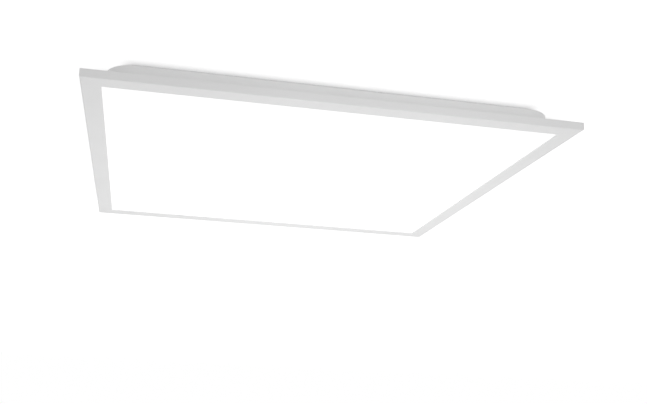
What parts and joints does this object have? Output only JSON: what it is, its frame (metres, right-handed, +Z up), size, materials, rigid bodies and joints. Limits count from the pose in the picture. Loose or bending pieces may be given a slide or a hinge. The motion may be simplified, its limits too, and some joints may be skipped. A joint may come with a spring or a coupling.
{
  "type": "led ceiling panel light",
  "caption": "Thin square surface-mounted ceiling light with a glowing opal sheet, white frame, inset rear housing and drop-off ceiling bracket.",
  "frame": {"origin": "middle of the bracket's slot pattern, on the face that lies on the ceiling", "axes": "+Z up into the ceiling, the lit face looks down -Z; +X towards the driver, the fixing screws are in the -X and +X walls"},
  "size_m": [0.595, 0.595, 0.031],
  "materials": {
    "white_coated_aluminium": "satin white powder coat",
    "white_coated_steel": "satin white powder coat",
    "galvanised_steel": "spangled zinc",
    "zinc_plated_steel": "bright zinc plate",
    "bare_aluminium": "mill finish",
    "opal_plastic": "opal, fine matt",
    "clear_acrylic": "clear, polished edges",
    "white_film": "matt white",
    "white_foam": "closed-cell foam",
    "light_board": "white solder mask",
    "phosphor": "yellow phosphor gel",
    "black_rubber": "matt",
    "white_rubber": "matt",
    "white_plastic": "fine spark texture",
    "circuit_board": "green solder mask",
    "capacitor_sleeve": "shrunk sleeve",
    "ferrite": "matt ground",
    "terminal_plastic": "moulded",
    "orange_plastic": "moulded"
  },
  "bodies": {
    "ceiling_mount": {"ceiling_bracket": "galvanised_steel", "weld_nuts": "zinc_plated_steel", "side_screws": "zinc_plated_steel", "cable_grommet": "black_rubber"},
    "luminaire": {"frame_near": "white_coated_aluminium", "frame_right": "white_coated_aluminium", "frame_far": "white_coated_aluminium", "frame_left": "white_coated_aluminium", "corner_keys": "bare_aluminium", "corner_screws": "zinc_plated_steel", "diffuser": "opal_plastic", "light_guide": "clear_acrylic", "light_guide_bumpers": "white_rubber", "reflector_sheet": "white_film", "foam_pad": "white_foam", "led_boards": "light_board", "led_packages": "phosphor", "back_plate": "white_coated_steel", "back_plate_screws": "zinc_plated_steel", "lead_grommets": "black_rubber", "earth_stud": "zinc_plated_steel", "earth_nut": "zinc_plated_steel", "rear_housing": "white_coated_steel", "housing_screws": "zinc_plated_steel", "driver_base": "white_plastic", "driver_cover": "white_plastic", "driver_board": "circuit_board", "driver_capacitors": "capacitor_sleeve", "driver_transformer": "ferrite", "driver_screws": "zinc_plated_steel", "cover_pin": "zinc_plated_steel", "terminal_block": "terminal_plastic"},
    "wiring_cover_body": {"wiring_cover": "white_plastic"},
    "release_button_live_body": {"release_button_live": "orange_plastic"},
    "release_button_neutral_body": {"release_button_neutral": "orange_plastic"},
    "release_button_earth_body": {"release_button_earth": "orange_plastic"}
  },
  "joints": [
    {"name": "luminaire_drop", "type": "slide", "parent": "ceiling_mount", "child": "luminaire", "axis": [0, 0, -1], "range_m": [0, 0.06]},
    {"name": "wiring_cover_hinge", "type": "hinge", "parent": "luminaire", "child": "wiring_cover_body", "pos_m": [0.1144, 0, -0.0067], "axis": [0, 1, 0], "range_deg": [0, 100]},
    {"name": "release_button_live_press", "type": "slide", "parent": "luminaire", "child": "release_button_live_body", "axis": [0, 0, -1], "range_m": [0, 0.001], "stiffness_N_per_m": 3000},
    {"name": "release_button_neutral_press", "type": "slide", "parent": "luminaire", "child": "release_button_neutral_body", "axis": [0, 0, -1], "range_m": [0, 0.001], "stiffness_N_per_m": 3000},
    {"name": "release_button_earth_press", "type": "slide", "parent": "luminaire", "child": "release_button_earth_body", "axis": [0, 0, -1], "range_m": [0, 0.001], "stiffness_N_per_m": 3000}
  ]
}
